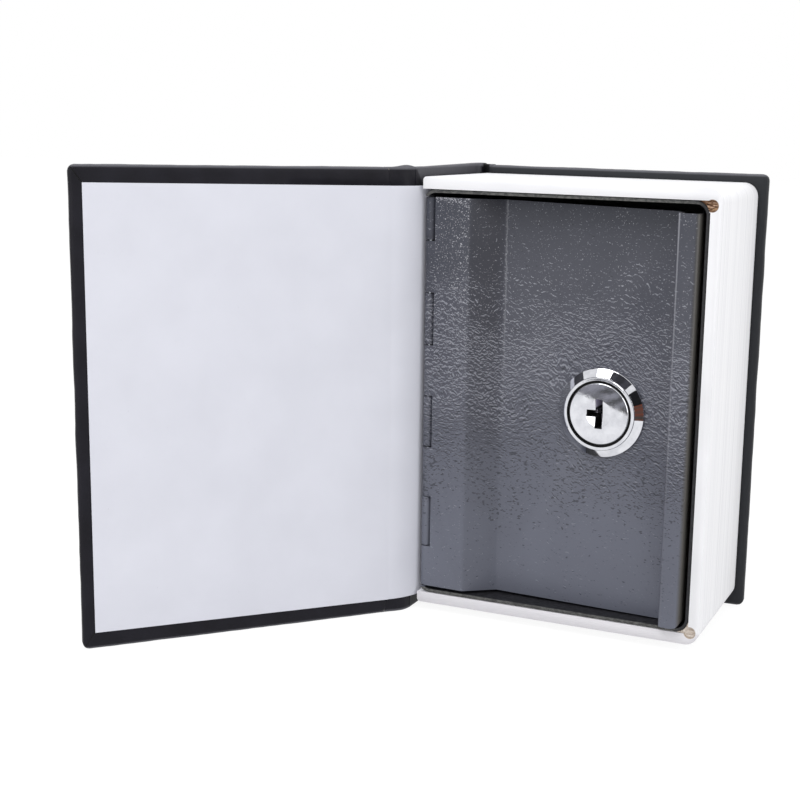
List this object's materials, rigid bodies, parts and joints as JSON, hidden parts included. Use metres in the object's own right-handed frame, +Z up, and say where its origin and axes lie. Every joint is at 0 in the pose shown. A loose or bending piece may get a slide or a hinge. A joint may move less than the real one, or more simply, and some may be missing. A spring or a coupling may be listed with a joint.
{
  "type": "book diversion safe",
  "caption": "Small lock box hidden in a hardback book: hinged cover, folded page block, sheet-steel box and door on a rolled hinge with a cam lock.",
  "frame": {"origin": "centre of the footprint on the surface that the book stands on, with its front cover swung open", "axes": "+Z up along the book's height; +X along the back cover from the spine to the fore edge; +Y from the door back to the back cover"},
  "size_m": [0.1383, 0.1045, 0.115],
  "materials": {
    "cloth": "black embossed leatherette over board",
    "board": "grey board",
    "endpaper": "pale lavender-grey matt paper",
    "pages": "fibreboard with a white printed page pattern",
    "box_paint": "dark grey wrinkle paint",
    "door_paint": "dark grey wrinkle paint",
    "zinc": "zinc plated steel",
    "chrome": "polished chrome on zinc",
    "brass": "plain brass",
    "spring": "bright spring wire"
  },
  "bodies": {
    "safe": {"page_strip": "pages", "box_body": "box_paint", "strike_plate": "zinc", "hinge_pin": "zinc", "spine_board": "board", "back_board": "board", "case_cloth": "cloth", "back_endpaper": "endpaper", "front_joint_cloth": "cloth", "endpaper_joint": "endpaper"},
    "front_cover": {"front_board": "board", "front_cloth": "cloth", "front_endpaper": "endpaper"},
    "door": {"door_panel": "door_paint", "lock_housing": "chrome", "toothed_washer": "zinc", "lock_nut": "zinc"},
    "plug": {"lock_plug": "chrome", "stop_washer": "zinc", "lock_cam": "zinc", "cam_washer": "zinc", "cam_screw": "zinc", "wafer_spring_1": "spring", "wafer_spring_2": "spring", "wafer_spring_3": "spring", "wafer_spring_4": "spring", "wafer_spring_5": "spring"},
    "wafer_1_body": {"wafer_1": "brass"},
    "wafer_2_body": {"wafer_2": "brass"},
    "wafer_3_body": {"wafer_3": "brass"},
    "wafer_4_body": {"wafer_4": "brass"},
    "wafer_5_body": {"wafer_5": "brass"}
  },
  "joints": [
    {"name": "cover_hinge", "type": "hinge", "parent": "safe", "child": "front_cover", "pos_m": [-0.01192, 0.00681, 0.0575], "axis": [0, 0, -1], "range_deg": [-133.7, 40], "deforming": ["front_joint_cloth", "endpaper_joint"]},
    {"name": "door_hinge", "type": "hinge", "parent": "safe", "child": "door", "pos_m": [-0.00701, 0.01166, 0.05745], "axis": [0, 0, -1], "range_deg": [-2, 104]},
    {"name": "lock_turn", "type": "hinge", "parent": "door", "child": "plug", "pos_m": [0.03836, 0.01007, 0.0566], "axis": [0.0349, 0.9994, 0], "range_deg": [0, 90]},
    {"name": "wafer_1_lift", "type": "slide", "parent": "plug", "child": "wafer_1_body", "axis": [0, 0, 1], "range_m": [0, 0.0009], "stiffness_N_per_m": 30, "springref_m": 0.0009, "deforming": ["wafer_spring_1"]},
    {"name": "wafer_2_lift", "type": "slide", "parent": "plug", "child": "wafer_2_body", "axis": [0, 0, 1], "range_m": [0, 0.0009], "stiffness_N_per_m": 30, "springref_m": 0.0009, "deforming": ["wafer_spring_2"]},
    {"name": "wafer_3_lift", "type": "slide", "parent": "plug", "child": "wafer_3_body", "axis": [0, 0, 1], "range_m": [0, 0.0009], "stiffness_N_per_m": 30, "springref_m": 0.0009, "deforming": ["wafer_spring_3"]},
    {"name": "wafer_4_lift", "type": "slide", "parent": "plug", "child": "wafer_4_body", "axis": [0, 0, 1], "range_m": [0, 0.0009], "stiffness_N_per_m": 30, "springref_m": 0.0009, "deforming": ["wafer_spring_4"]},
    {"name": "wafer_5_lift", "type": "slide", "parent": "plug", "child": "wafer_5_body", "axis": [0, 0, 1], "range_m": [0, 0.0009], "stiffness_N_per_m": 30, "springref_m": 0.0009, "deforming": ["wafer_spring_5"]}
  ]
}
